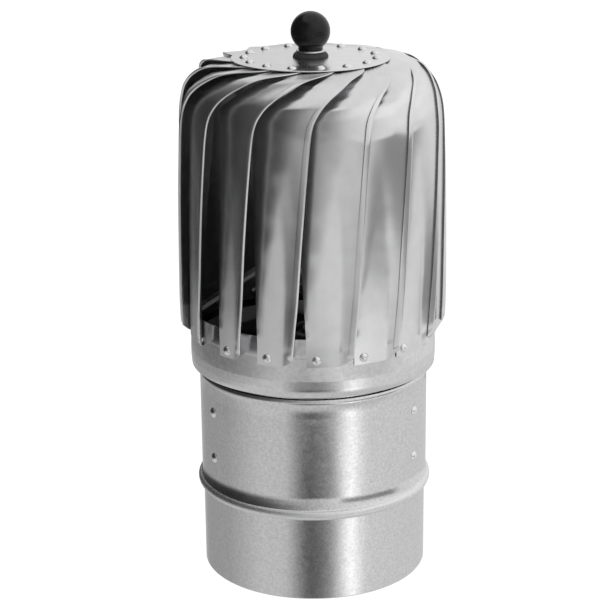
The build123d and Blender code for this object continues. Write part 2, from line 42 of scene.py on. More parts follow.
# --------------------------------------------------------------------------
# dimensions, in mm, as the frame has them
# --------------------------------------------------------------------------
hem_az = (-0.6, 24.7, 46.5, 71.2, 95.4, 119.4, 143.4, 167.4,
          191.4, 215.4, 239.4, 263.2, 286.2, 310.6, 335.2)
tab_az = (-20.8, 1.55, 23.0, 45.0, 66.6, 90.4, 114.4, 138.4,
          162.4, 186.4, 210.4, 234.4, 253.6, 297.0, 317.9)
left_az = (-25.4, -3.05, 18.4, 40.4, 62.0, 85.8, 109.8, 133.8,
           157.8, 181.8, 205.8, 229.8, 249.0, 278.4, 313.3)
foot_az = (0.0, 0.2, 0.2, -1.0, 0.0, 0.0, 0.0, 0.0,
           0.0, 0.0, 0.0, 0.0, 0.0, 0.2, 0.4)
vane_t = 0.6
rivet_z = 165.5
leg_az = (-60.0, 60.0, 180.0)
leg_rivet_z = (84.0, 115.6)
stations = (
    (167.5, 86.0, 161.0, 80.7, -7.7, 5.0), (170.5, 86.3, 165.0, 80.7, -7.5, 5.0),
    (173.5, 86.5, 169.0, 80.7, -7.3, 5.0), (177.0, 86.6, 174.0, 80.7, -7.1, 5.2),
    (181.0, 86.7, 179.0, 80.7, -6.8, 5.4), (188.5, 86.8, 188.0, 80.7, -6.3, 5.6),
    (205.0, 86.7, 205.0, 80.7, -5.2, 6.2), (230.0, 86.4, 230.0, 80.7, -4.0, 7.5),
    (255.0, 86.0, 255.0, 80.7, -2.7, 10.0), (280.0, 85.3, 280.0, 80.7, -1.3, 14.0),
    (300.0, 84.6, 298.0, 80.7, 0.0, 18.0), (309.0, 83.7, 307.0, 80.3, 0.8, 20.0),
    (314.0, 82.7, 312.0, 79.8, 1.7, 21.0), (318.6, 81.4, 316.5, 78.8, 3.4, 22.0),
    (322.5, 80.0, 320.0, 77.5, 5.4, 23.0), (325.4, 78.4, 323.0, 75.8, 7.5, 24.0),
    (328.2, 76.7, 325.6, 73.8, 10.0, 24.0), (330.6, 75.0, 327.8, 71.7, 12.8, 24.0),
    (333.0, 72.9, 330.0, 69.4, 15.8, 24.0), (335.2, 70.4, 332.2, 66.8, 18.8, 24.0),
    (337.2, 67.2, 334.6, 63.5, 22.2, 24.0), (338.5, 62.8, 336.4, 59.8, 27.5, 24.0),
    (339.1, 57.5, 337.6, 55.5, 34.0, 24.0), (339.4, 52.0, 338.2, 51.2, 39.6, 24.0),
    (339.55, 46.0, 338.45, 46.0, 44.4, 24.0), (339.6, 41.0, 338.5, 41.0, 47.8, 24.0),
    (339.6, 36.0, 338.5, 36.0, 50.0, 24.0))
last = len(stations) - 1


def at_station(t, col):
    y = [s[col] for s in stations]
    i = min(int(t), last - 1)
    d = [y[j + 1] - y[j] for j in range(last)]

    def slope(j):
        if j == 0:
            return d[0]
        if j == last:
            return d[last - 1]
        if d[j - 1] * d[j] <= 0:
            return 0.0
        return 2 * d[j - 1] * d[j] / (d[j - 1] + d[j])
    u = t - i
    m0, m1 = slope(i), slope(i + 1)
    return ((2 * u**3 - 3 * u**2 + 1) * y[i] + (u**3 - 2 * u**2 + u) * m0
            + (3 * u**2 - 2 * u**3) * y[i + 1] + (u**3 - u**2) * m1)


def smooth(x):
    x = max(0.0, min(1.0, x))
    return x * x * (3 - 2 * x)


# the sheet also curls inward toward its straight edge: (t, depth, width of the curl) in mm
curls = ((0.0, 0.0, 6.0), (4.0, 0.0, 6.0), (5.0, 0.7, 6.0), (6.0, 2.2, 8.0), (7.0, 4.4, 14.0), (8.0, 6.6, 20.0),
         (9.0, 8.8, 27.0), (10.0, 10.6, 33.0), (11.0, 10.6, 35.0), (12.0, 9.6, 35.0), (13.0, 8.0, 34.0), (15.0, 5.4, 30.0),
         (17.0, 3.2, 26.0), (19.0, 1.6, 22.0), (21.0, 0.5, 16.0), (22.0, 0.0, 14.0), (26.0, 0.0, 10.0))


def curl_at(t, col):
    for a, b in zip(curls, curls[1:]):
        if t <= b[0]:
            return a[col] + (b[col] - a[col]) * smooth((t - a[0]) / (b[0] - a[0]))
    return curls[-1][col]


def hem_at(k, t):
    return hem_az[k] + at_station(t, 4) + foot_az[k] * (1 - smooth((t - 4.8) / 2.6))


def vane_width(k, t):
    hem = hem_at(k, t)
    left = left_az[k]
    prev = hem_az[k - 1] - (360.0 if k == 0 else 0.0)
    top = hem_az[k] - prev + 3.0
    b = smooth((t - 9.0) / 7.0)
    return (hem - left) * (1 - b) + top * b + 0.5 * curl_at(t, 1)


# --------------------------------------------------------------------------
# small helpers
# --------------------------------------------------------------------------
def add_mesh(name, verts, faces, mats, face_mat=None, smooth_shade=True):
    me = bpy.data.meshes.new(name)
    v = np.asarray(verts, np.float32).reshape(-1, 3) * MM
    loops = np.concatenate([np.asarray(f, np.int32) for f in faces])
    sizes = np.array([len(f) for f in faces], np.int32)
    starts = np.concatenate([[0], np.cumsum(sizes)[:-1]]).astype(np.int32)
    me.vertices.add(len(v))
    me.vertices.foreach_set("co", v.ravel())
    me.loops.add(len(loops))
    me.loops.foreach_set("vertex_index", loops)
    me.polygons.add(len(sizes))
    me.polygons.foreach_set("loop_start", starts)
    me.polygons.foreach_set("loop_total", sizes)
    me.update(calc_edges=True)
    for m in mats:
        me.materials.append(m)
    if face_mat is not None:
        me.polygons.foreach_set("material_index", np.asarray(face_mat, np.int32))
    me.polygons.foreach_set("use_smooth", np.full(len(sizes), smooth_shade))
    me.validate()
    ob = bpy.data.objects.new(name, me)
    scene.collection.objects.link(ob)
    return ob


def revolve(name, profile, mats, seg=256, sharp=25.0, closed=True, centre=(0, 0), start=0.0, inside_from=None):
    """profile: list of (r, z); corners sharper than sharp get a doubled row, so they shade crisp."""
    rows = []
    n = len(profile)
    for i, p in enumerate(profile):
        a = profile[i - 1] if (closed or i > 0) else None
        b = profile[(i + 1) % n] if (closed or i < n - 1) else None
        corner = False
        if a is not None and b is not None:
            u = Vector((p[0] - a[0], p[1] - a[1]))
            w = Vector((b[0] - p[0], b[1] - p[1]))
            if u.length > 1e-9 and w.length > 1e-9:
                corner = math.degrees(u.angle(w)) > sharp
        rows.append((p, False))
        if corner:
            rows.append((p, True))
    verts, faces = [], []
    ang = [start + 2 * math.pi * j / seg for j in range(seg)]
    for p, _ in rows:
        for a in ang:
            verts.append((centre[0] + p[0] * math.sin(a), centre[1] - p[0] * math.cos(a), p[1]))
    m = len(rows)
    for i in range(m if closed else m - 1):
        i2 = (i + 1) % m
        if rows[i2][1]:
            continue
        for j in range(seg):
            j2 = (j + 1) % seg
            faces.append((i * seg + j, i * seg + j2, i2 * seg + j2, i2 * seg + j))
    fm = None
    if inside_from is not None:                # the profile's points from this index on are the unseen inner side; they take the second material, the darker painted-shade copy in this script
        row_i, c = [], -1
        for p, doubled in rows:
            if not doubled:
                c += 1
            row_i.append(c)
        fm = [1 if row_i[f[0] // seg] >= inside_from else 0 for f in faces]
    return add_mesh(name, verts, faces, mats, fm)


def arc3(p0, p1, p2, n):
    """n+1 points of the circle arc through three (r, z) points."""
    ax, ay = p0; bx, by = p1; cx, cy = p2
    d = 2 * (ax * (by - cy) + bx * (cy - ay) + cx * (ay - by))
    ux = ((ax*ax+ay*ay)*(by-cy) + (bx*bx+by*by)*(cy-ay) + (cx*cx+cy*cy)*(ay-by)) / d
    uy = ((ax*ax+ay*ay)*(cx-bx) + (bx*bx+by*by)*(ax-cx) + (cx*cx+cy*cy)*(bx-ax)) / d
    r = math.hypot(ax - ux, ay - uy)
    a0, a1, a2 = (math.atan2(y - uy, x - ux) for x, y in (p0, p1, p2))
    while a1 - a0 > math.pi: a1 -= 2 * math.pi
    while a1 - a0 < -math.pi: a1 += 2 * math.pi
    while a2 - a1 > math.pi: a2 -= 2 * math.pi
    while a2 - a1 < -math.pi: a2 += 2 * math.pi
    return [(ux + r * math.cos(a0 + (a2 - a0) * i / n), uy + r * math.sin(a0 + (a2 - a0) * i / n))
            for i in range(n + 1)]


def fillet(points, radius, n=8):
    out = [points[0]]
    for i in range(1, len(points) - 1):
        a, p, b = (Vector(points[j]) for j in (i - 1, i, i + 1))
        u, w = (a - p).normalized(), (b - p).normalized()
        half = u.angle(w) / 2
        back = min(radius / math.tan(half), 0.48 * (a - p).length, 0.48 * (b - p).length)
        r = back * math.tan(half)
        s, e = p + u * back, p + w * back
        c = p + (u + w).normalized() * (r / math.sin(half))
        mid = c + (p - c).normalized() * r
        out += arc3(tuple(s), tuple(mid), tuple(e), n)
    out.append(points[-1])
    return out


# --------------------------------------------------------------------------
# procedural materials
# --------------------------------------------------------------------------
def new_mat(name):
    m = bpy.data.materials.new(name)
    m.use_nodes = True
    m.node_tree.nodes.clear()
    return m, m.node_tree.nodes, m.node_tree.links


def node(nodes, kind, **values):
    nd = nodes.new(kind)
    for k, v in values.items():
        if k.startswith("_"):
            setattr(nd, k[1:], v)
        else:
            nd.inputs[k.replace("__", " ")].default_value = v
    return nd


def ramp(nodes, stops, interpolation="LINEAR"):
    nd = nodes.new("ShaderNodeValToRGB")
    cr = nd.color_ramp
    cr.interpolation = interpolation
    stops = sorted(stops, key=lambda s: s[0])
    while len(cr.elements) > 1:
        cr.elements.remove(cr.elements[-1])
    cr.elements[0].position = stops[0][0]
    cr.elements[0].color = (stops[0][1],) * 3 + (1,) if not isinstance(stops[0][1], tuple) else stops[0][1] + (1,)
    for pos, val in stops[1:]:
        e = cr.elements.new(pos)
        e.color = (val,) * 3 + (1,) if not isinstance(val, tuple) else val + (1,)
    return nd


def metal(name, dark, light, rough, spangle=500.0, wave=None, grain=None, tint=(1, 1, 1.01),
          metallic=1.0, coat=0.0, specular=0.5, stretch=(1, 1, 1), brushed=0.0, streaks=None):
    """Metal or plastic with a mottled colour and roughness and a fine bump.
    rough = (low, high); wave and grain = (scale, height in metres)."""
    m, n, l = new_mat(name)
    out = n.new("ShaderNodeOutputMaterial")
    p = n.new("ShaderNodeBsdfPrincipled")
    l.new(p.outputs[0], out.inputs[0])
    p.inputs["Metallic"].default_value = metallic
    p.inputs["Specular IOR Level"].default_value = specular
    if brushed:
        p.inputs["Anisotropic"].default_value = brushed
        tg = n.new("ShaderNodeTangent")
        tg.direction_type = "RADIAL"
        tg.axis = "Z"
        l.new(tg.outputs[0], p.inputs["Tangent"])
    if coat:
        p.inputs["Coat Weight"].default_value = coat
        p.inputs["Coat Roughness"].default_value = 0.15
    tc = n.new("ShaderNodeTexCoord")
    mp = n.new("ShaderNodeMapping")
    mp.inputs["Scale"].default_value = stretch
    l.new(tc.outputs["Object"], mp.inputs["Vector"])
    a = node(n, "ShaderNodeTexNoise", Scale=spangle, Detail=3.0, Roughness=0.55)
    l.new(mp.outputs[0], a.inputs["Vector"])
    r = ramp(n, [(0.28, tuple(dark * t for t in tint)), (0.72, tuple(light * t for t in tint))])
    l.new(a.outputs["Fac"], r.inputs[0])
    l.new(r.outputs[0], p.inputs["Base Color"])
    b = node(n, "ShaderNodeTexNoise", Scale=spangle * 0.37, Detail=4.0, Roughness=0.6)
    l.new(mp.outputs[0], b.inputs["Vector"])
    mr = node(n, "ShaderNodeMapRange")
    mr.inputs["From Min"].default_value = 0.25
    mr.inputs["From Max"].default_value = 0.75
    mr.inputs["To Min"].default_value = rough[0]
    mr.inputs["To Max"].default_value = rough[1]
    l.new(b.outputs["Fac"], mr.inputs["Value"])
    l.new(mr.outputs[0], p.inputs["Roughness"])
    mp2 = n.new("ShaderNodeMapping")
    mp2.inputs["Scale"].default_value = (1, 1, 0.02)
    l.new(tc.outputs["Object"], mp2.inputs["Vector"])
    prev = None
    for item in (wave, grain, streaks):
        if item is None:
            continue
        scale, height = item
        w = node(n, "ShaderNodeTexNoise", Scale=scale, Detail=1.5, Roughness=0.45)
        l.new((mp2 if item is streaks else mp).outputs[0], w.inputs["Vector"])
        bu = node(n, "ShaderNodeBump", Strength=1.0, Distance=height)
        l.new(w.outputs["Fac"], bu.inputs["Height"])
        if prev is not None:
            l.new(prev.outputs[0], bu.inputs["Normal"])
        prev = bu
    if prev is not None:
        l.new(prev.outputs[0], p.inputs["Normal"])
    return m


M = {
    "vane_mirror": metal("vane_mirror", 0.80, 0.86, (0.19, 0.23), spangle=90, wave=(26, 0.0003), brushed=0.97, streaks=(260, 0.00004)),
    # painted shade: the vanes' inner faces get a darker copy of the vane metal, so the shaded interior reads dark
    "vane_inner": metal("vane_inner", 0.66, 0.74, (0.30, 0.38), spangle=90, wave=(30, 0.0005), grain=(900, 0.000006)),
    "galvanised": metal("galvanised", 0.66, 0.86, (0.15, 0.22), spangle=620, wave=(45, 0.0003), grain=(950, 0.000012)),
    "ring_metal": metal("ring_metal", 0.72, 0.84, (0.14, 0.20), spangle=420, wave=(40, 0.0003), grain=(900, 0.000008)),
    "disc_metal": metal("disc_metal", 0.80, 0.86, (0.20, 0.26), spangle=160, wave=(28, 0.0004)),
    # painted shade: a darker copy of the sheet metal for the inner sides of the tube and ring, where shade falls
    "inside_sheet_painted_shade": metal("inside_sheet_painted_shade", 0.36, 0.46, (0.35, 0.45), spangle=300, grain=(900, 0.00001)),
    "bead_metal": metal("bead_metal", 0.80, 0.92, (0.42, 0.50), spangle=620, grain=(950, 0.00001)),
    "rivet_metal": metal("rivet_metal", 0.82, 0.94, (0.22, 0.32), spangle=500, grain=(700, 0.00002)),
    "zinc_strap": metal("zinc_strap", 0.50, 0.62, (0.32, 0.42), spangle=400, grain=(800, 0.00002)),
    "housing_metal": metal("housing_metal", 0.50, 0.60, (0.30, 0.40), spangle=300, grain=(900, 0.00002)),
    "plated_steel": metal("plated_steel", 0.62, 0.76, (0.20, 0.30), spangle=500, grain=(800, 0.00001)),
    "axle_steel": metal("axle_steel", 0.50, 0.60, (0.25, 0.33), spangle=400, stretch=(1, 1, 12)),
    "bearing_steel": metal("bearing_steel", 0.60, 0.68, (0.14, 0.2), spangle=300),
    "cage_steel": metal("cage_steel", 0.48, 0.56, (0.3, 0.4), spangle=300),
    "spring_steel": metal("spring_steel", 0.24, 0.32, (0.3, 0.4), spangle=300),
    "rubber_black": metal("rubber_black", 0.012, 0.024, (0.5, 0.65), spangle=700, grain=(1500, 0.00002), metallic=0.0),
    "black_plastic": metal("black_plastic", 0.003, 0.006, (0.16, 0.22), spangle=300, grain=(420, 0.00001), metallic=0.0, specular=0.33),
    # painted shadow: a dark metal on the flap's raw edge and the straight edge, standing for the shadow lines along the
    # sheet's edges
    "edge_painted_shadow": metal("edge_painted_shadow", 0.18, 0.26, (0.45, 0.55), spangle=600),
    "brass_insert": metal("brass_insert", 0.55, 0.7, (0.25, 0.35), spangle=300, tint=(1.0, 0.78, 0.36)),
}


# --------------------------------------------------------------------------
# base tube, rotor ring
# --------------------------------------------------------------------------
def ladder(p0, p1, n):
    return [(p0[0] + (p1[0] - p0[0]) * i / n, p0[1] + (p1[1] - p0[1]) * i / n) for i in range(1, n)]


z_mid = (55.8 + 62.4) / 2
outer = [(74.1, 0.25), (74.1, 0.55)] + ladder((74.1, 0.55), (74.1, 55.0), 6)
outer += [(74.1, 55.2)] + fillet([(74.1, 55.2), (74.1, 55.8), (74.6, 56.5)], 1.0, 4)[1:-1]
outer += arc3((74.1, 55.8), (77.7, z_mid), (75.0, 62.4), 28)[2:-2]
outer += [(75.0, 62.9)] + ladder((75.0, 62.9), (75.0, 133.0), 8)
outer += arc3((75.0, 133.0), (75.5, 135.0), (74.9, 137.2), 12)
inner = [(74.6, 137.25), (74.2, 137.0)] + ladder((74.2, 137.0), (74.2, 61.9), 4)
inner += arc3((74.2, 61.9), (76.9, z_mid), (73.3, 56.3), 12)
inner += [(73.3, 30.0), (73.3, 0.2), (73.5, 0.0), (73.9, 0.0)]
# painted shade: the tube's inner side takes the darker sheet copy
tube = revolve("tube_shell", outer + inner, [M["galvanised"], M["inside_sheet_painted_shade"], M["bead_metal"]], seg=384, sharp=50,
               inside_from=len(outer) + 1)
for poly in tube.data.polygons:                 # the rolled bead is duller than the sheet
    c = poly.center
    if poly.material_index == 0 and 0.0562 < c.z < 0.0624 and math.hypot(c.x, c.y) > 0.0742:
        poly.material_index = 2
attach(tube, "base"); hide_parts("base_tube")

prof = fillet([(79.95, 140.9), (80.35, 146.0), (80.35, 151.5), (79.9, 166.0), (79.9, 178.8)], 2.2, 5)
prof += [(79.75, 179.0), (79.25, 179.0)]
n_ring_out = len(prof)
prof += fillet([(79.1, 178.8), (79.1, 152.4), (79.6, 150.4), (79.6, 144.8), (79.15, 141.0)], 0.9, 6)
prof += [(79.3, 140.72), (79.8, 140.7)]
# painted shade: the ring's inner side takes the darker sheet copy
ring = revolve("ring_shell", prof, [M["ring_metal"], M["inside_sheet_painted_shade"]], seg=384, sharp=50, inside_from=n_ring_out)
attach(ring, "rotor"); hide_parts("rotor_ring")

# --------------------------------------------------------------------------
# vanes: polished sheet with a folded hem along the outer edge
# --------------------------------------------------------------------------
HEM_W, HEM_H = 3.8, 1.15
n_t = 132
ts = []
for i in range(n_t + 1):                       # evenly spaced along the stations
    u = i / n_t
    ts.append(last * u)
T = np.array(ts)
tab = np.array([[at_station(t, c) for c in range(6)] for t in ts])


def vane_faces(k):
    n_out, n_in = 30, 16
    zh, rh, zp, rp, sw, fw = tab.T
    width = np.array([vane_width(k, t) for t in ts])
    az0 = np.array([hem_at(k, t) for t in ts])
    cd = np.array([curl_at(t, 1) for t in ts])
    cw = np.array([curl_at(t, 2) for t in ts])
    dz, dr = np.gradient(zp), np.gradient(rp)
    ln = np.hypot(dz, dr)
    cr_, cz_ = dz / ln, -dr / ln               # outward normal of the main panel in the (r, z) plane

    def surf(a):
        """a: (n_t+1, m) degrees in from the outer edge -> points (n_t+1, m, 3)."""
        e = 0.15
        x = 1.0 - a / fw[:, None]
        f = (x + np.sqrt(x * x + e * e)) / (1 + math.sqrt(1 + e * e))
        az = np.radians(az0[:, None] - a)
        s_mm = (width[:, None] - a) * (math.pi / 180.0) * rp[:, None]
        g = np.clip(1.0 - s_mm / cw[:, None], 0.0, 1.6) ** 2 * cd[:, None]
        r = rp[:, None] + f * (rh - rp)[:, None] - g * cr_[:, None]
        z = zp[:, None] + f * (zh - zp)[:, None] - g * cz_[:, None]
        return np.stack([r * np.sin(az), -r * np.cos(az), z], -1)

    rmean = np.maximum(rh, 30.0)
    deg = 180.0 / (math.pi * rmean)            # degrees per mm at each station
    foot = np.clip((tab[:, 0] - 167.6) / 3.6, 0, 1)
    foot = foot * foot * (3 - 2 * foot)
    top = np.clip((tab[:, 1] - 66.5) / 4.5, 0, 1)
    top = top * top * (3 - 2 * top)
    tp = foot * top
    H = HEM_H * tp
    R = (vane_t + H) / 2
    HW = 2.0 + (HEM_W - 2.0) * tp

    def frame_at(a_deg):
        d = 0.02
        p = surf(a_deg)
        pa = surf(a_deg + d) - surf(a_deg - d)
        pt = np.gradient(p, axis=0)
        nrm = np.cross(pt, pa)
        nrm /= np.linalg.norm(nrm, axis=-1, keepdims=True) + 1e-12
        out = p.copy(); out[..., 2] = 0.25 * (p[..., 2] - 250.0).clip(-10, 400)
        sgn = np.sign((nrm * p * np.array([1, 1, 0])).sum(-1) + nrm[..., 2] * 25.0)
        ref = np.sign(np.median(sgn))
        nrm *= ref
        return p, nrm

    cols = []                                   # (points, normals, n offset, material)
    # outer face, from the straight edge to the raw edge of the flap
    hw_deg = HW * deg
    s = np.linspace(0, 1, n_out) ** 0.9
    a = width[:, None] + (hw_deg - width)[:, None] * s[None, :]
    p, nn = frame_at(a)
    for j in range(n_out):
        cols.append(p[:, j])
    mats = [0] * (n_out - 1)
    # raw edge and flap; the raw edge carries the dark painted-shadow metal
    pr, nr = frame_at(hw_deg[:, None])
    pr, nr = pr[:, 0], nr[:, 0]
    cols.append(pr + nr * (H * 0.55)[:, None]); mats.append(2)
    gap = 0.12 * tp
    cols.append(pr + nr * (H * 0.97)[:, None]); mats.append(2)
    n_fl = 5
    for j in range(n_fl):
        w = (j + 0.35) / n_fl
        aa = hw_deg * (1 - w) + R * deg * w
        pf, nf = frame_at(aa[:, None])
        crown = H * (1.0 + 0.05 * math.sin(math.pi * w))
        cols.append(pf[:, 0] + nf[:, 0] * crown[:, None]); mats.append(0)
    # fold
    pc, nc = frame_at((R * deg)[:, None])
    pc, nc = pc[:, 0], nc[:, 0]
    pe, _ = frame_at(np.zeros((len(ts), 1)))
    side = pe[:, 0] - pc
    side /= np.linalg.norm(side, axis=-1, keepdims=True) + 1e-12
    cen = pc + nc * ((H - vane_t) / 2)[:, None]
    for j in range(9):
        ph = math.pi / 2 - math.pi * j / 8
        cols.append(cen + nc * (R * math.sin(ph))[:, None] + side * (R * math.cos(ph))[:, None]); mats.append(0)
    # inner face back to the straight edge, in the darker vane metal copy that paints shade on the inside
    s = np.linspace(0, 1, n_in + 1)[1:]
    a = (R * deg)[:, None] + (width - R * deg)[:, None] * s[None, :]
    p, nn = frame_at(a)
    for j in range(n_in):
        cols.append(p[:, j] - nn[:, j] * vane_t); mats.append(1)
    cols = np.stack(cols, 1)                    # (n_t+1, m, 3)
    mats.append(2)                              # the straight edge's own thickness, in the dark painted-shadow metal
    return cols, mats


vanes = []
for k in range(15):
    cols, cmats = vane_faces(k)
    nt, m, _ = cols.shape
    # doubled columns where the section turns sharply, so the fold shades crisp
    n_out = 30
    sharp_at = {0, n_out - 1, n_out, n_out + 1, m - 1}
    order, owner = [], []
    for j in range(m):
        order.append(j)
        if j in sharp_at:
            order.append(j)
    V = cols[:, order, :]
    mm = len(order)
    faces, fmat = [], []
    for jj in range(mm):
        j2 = (jj + 1) % mm
        if order[jj] == order[j2]:
            continue
        mt = cmats[order[jj]]
        for i in range(nt - 1):
            a, b = i * mm + jj, i * mm + j2
            c, d = (i + 1) * mm + j2, (i + 1) * mm + jj
            faces.append((a, b, c, d)); fmat.append(mt)
    verts = list(V.reshape(-1, 3))
    # end caps at the foot and the tip
    n_fl_end = n_out + 2 + 5 + 9
    for i in (0, nt - 1):
        base = len(verts)
        verts += list(cols[i])
        half = [(n_out - 1 - q) for q in range(n_out)]
        ring_ids = list(range(base, base + m))
        faces.append(tuple(ring_ids if i == 0 else ring_ids[::-1])); fmat.append(0)
    ob = add_mesh("vane_sheet_%02d" % (k + 1), verts, faces, [M["vane_mirror"], M["vane_inner"], M["edge_painted_shadow"]], fmat)
    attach(ob, "rotor"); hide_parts("vane_%02d" % (k + 1))
    vanes.append(ob)


# --------------------------------------------------------------------------
# rivets
# --------------------------------------------------------------------------
def rivet_mesh(name, spots, mat, body, nodes):
    """spots: (origin, outward axis, profile of (height, radius) from axis top to the tail)."""
    verts, faces = [], []
    seg = 40
    for origin, axis, profile in spots:
        axis = Vector(axis).normalized()
        u = axis.cross(Vector((0, 0, 1)) if abs(axis.z) < 0.9 else Vector((1, 0, 0))).normalized()
        w = axis.cross(u)
        o = Vector(origin)
        base = len(verts)
        for h, r in profile:
            for j in range(seg):
                a = 2 * math.pi * j / seg
                verts.append(o + axis * h + (u * math.cos(a) + w * math.sin(a)) * max(r, 0.001))
        for i in range(len(profile) - 1):
            for j in range(seg):
                j2 = (j + 1) % seg
                faces.append((base + i * seg + j, base + (i + 1) * seg + j,
                              base + (i + 1) * seg + j2, base + i * seg + j2))
    ob = add_mesh(name, [tuple(v) for v in verts], faces, [mat])
    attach(ob, body)
    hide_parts(*nodes)
    return ob


def dome_profile(height, radius, flat=0.0, tail=None, n=14):
    """Domed head sitting at h = 0; a shank and tail below it."""
    big = (radius**2 + height**2) / (2 * height)
    half = math.asin(min(1.0, radius / big))
    pts = []
    for i in range(n + 1):
        a = half * i / n
        pts.append((height - big + big * math.cos(a), big * math.sin(a)))
    pts.append((-0.12, radius - 0.05))
    pts.append((-0.12, 1.6))
    if tail:
        depth, r_tail, h_tail = tail
        pts += [(-depth, 1.6), (-depth, r_tail), (-depth - h_tail * 0.7, r_tail),
                (-depth - h_tail, r_tail * 0.8), (-depth - h_tail, 0.0)]
    return pts


def out_dir(az):
    a = math.radians(az)
    return (math.sin(a), -math.cos(a), 0.0)


def at(r, az, z):
    d = out_dir(az)
    return (d[0] * r, d[1] * r, z)


spots = [(at(80.8, az, rivet_z), out_dir(az), dome_profile(1.7, 3.0, tail=(1.8, 2.4, 1.3))) for az in tab_az]
rivet_mesh("ring_rivet_heads", spots, M["rivet_metal"], "rotor", ["ring_rivets"])
spots = [(at(75.02, az, z), out_dir(az), dome_profile(1.7, 3.4, tail=(3.45, 3.0, 1.6)))
         for az in leg_az for z in leg_rivet_z]
rivet_mesh("bracket_rivet_heads", spots, M["rivet_metal"], "base", ["bracket_rivets"])
spots = [(at(42.0, 8 + 24.0 * (k + 1), 340.32), (0, 0, 1), dome_profile(1.88, 3.0, tail=(2.6, 2.4, 1.2)))
         for k in range(15)]
rivet_mesh("disc_rivet_heads", spots, M["rivet_metal"], "rotor", ["disc_rivets"])

# --------------------------------------------------------------------------
# top disc, collar, washer, ball
# --------------------------------------------------------------------------
disc = revolve("disc_plate", [(5.1, 340.3), (12.0, 340.3), (30.0, 340.3), (49.9, 340.3), (50.2, 340.24), (50.38, 340.1),
                              (50.45, 339.9), (50.38, 339.72), (50.2, 339.65), (5.1, 339.65)],
               [M["disc_metal"]], seg=256, sharp=50)
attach(disc, "rotor"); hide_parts("top_disc")

collar = revolve("collar_ring", [(5.02, 340.32), (11.15, 340.32), (11.3, 340.45)]
                 + arc3((11.3, 340.6), (10.6, 342.4), (8.6, 343.6), 14) + [(5.02, 343.6)],
                 [M["rubber_black"]], seg=128, sharp=50)
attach(collar, "rotor"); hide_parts("seal_collar")

washer = revolve("washer_plate", [(5.1, 343.65), (8.95, 343.65), (9.2, 343.85), (9.2, 344.6), (8.95, 344.85), (5.1, 344.85)],
                 [M["plated_steel"]], seg=128, sharp=50)
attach(washer, "rotor"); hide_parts("knob_washer")

kz, kr, nr_ = 356.5, 12.5, 7.8
z_join = kz - math.sqrt(kr**2 - nr_**2)
a0 = math.asin((z_join - kz) / kr)
pts = []
N = 48
for i in range(N + 1):
    a = math.pi / 2 + (a0 - math.pi / 2) * i / N
    groove = 0.10 * math.exp(-((math.degrees(a)) / 1.6) ** 2)
    pts.append((max((kr - groove) * math.cos(a), 0.001), kz + (kr - groove) * math.sin(a)))
extra = []
for i in range(-6, 7):
    a = math.radians(i * 0.8)
    groove = 0.10 * math.exp(-((math.degrees(a)) / 1.6) ** 2)
    extra.append(((kr - groove) * math.cos(a), kz + (kr - groove) * math.sin(a)))
pts = sorted(pts + extra, key=lambda q: -q[1])
prof = pts + [(7.8, 346.6), (7.8, 345.2), (7.65, 344.92), (6.6, 344.92), (6.6, 358.2), (0.001, 358.2)]
ball = revolve("ball_cap", prof, [M["black_plastic"]], seg=128, sharp=50, closed=False)
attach(ball, "rotor"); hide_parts("ball_knob")

# --------------------------------------------------------------------------
# the frame's own nodes that stay
# --------------------------------------------------------------------------
rules = (("skirt", "ring_metal"), ("leg", "zinc_strap"), ("arm_bolt", "plated_steel"), ("arm_nut", "plated_steel"), ("arm_rivet", "rivet_metal"),
         ("spider_arm", "zinc_strap"), ("spider_hub", "housing_metal"), ("housing_bolt", "plated_steel"),
         ("housing_nut", "plated_steel"), ("bearing_housing", "housing_metal"), ("retaining", "spring_steel"),
         ("cage", "cage_steel"), ("spacer", "plated_steel"), ("washer", "plated_steel"), ("locknut", "plated_steel"),
         ("disc_nut", "plated_steel"), ("set_screw", "plated_steel"), ("insert", "brass_insert"), ("axle", "axle_steel"),
         ("bearing", "bearing_steel"))
for name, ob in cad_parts.items():
    if ob.hide_render:
        continue
    use = next((s for key, s in rules if key in name), "plated_steel")
    ob.data.materials.clear()
    ob.data.materials.append(M[use])

# --------------------------------------------------------------------------
# floor and studio light
# --------------------------------------------------------------------------
def floor_material():
    m, n, l = new_mat("floor_pale")
    out = n.new("ShaderNodeOutputMaterial")
    e = n.new("ShaderNodeEmission")
    e.inputs["Color"].default_value = (1, 1, 1, 1)
    e.inputs["Strength"].default_value = 0.94
    d = n.new("ShaderNodeBsdfDiffuse")
    d.inputs["Color"].default_value = (0.12, 0.12, 0.12, 1)
    a = n.new("ShaderNodeAddShader")
    l.new(e.outputs[0], a.inputs[0]); l.new(d.outputs[0], a.inputs[1]); l.new(a.outputs[0], out.inputs[0])
    m.cycles.emission_sampling = "NONE"
    return m


bpy.ops.mesh.primitive_plane_add(size=60, location=(0, 0, -0.0002))
floor = bpy.context.object
floor.name = "floor"
floor.data.materials.append(floor_material())
floor.visible_glossy = False
floor.visible_shadow = False

# what the tube stands on, as the bright metal sees it: unlit
m, n, l = new_mat("under_tube")
out = n.new("ShaderNodeOutputMaterial")
d = n.new("ShaderNodeBsdfDiffuse")
d.inputs["Color"].default_value = (0.02, 0.02, 0.02, 1)
l.new(d.outputs[0], out.inputs[0])
bpy.ops.mesh.primitive_circle_add(vertices=96, radius=0.0738, fill_type="NGON", location=(0, 0, -0.0001))
under = bpy.context.object
under.name = "floor_under_tube"
under.data.materials.append(m)
under.visible_camera = False
under.visible_diffuse = False
under.visible_shadow = False

# a surround of soft panels that the polished metal reflects: brightness by direction
DR = 3.0


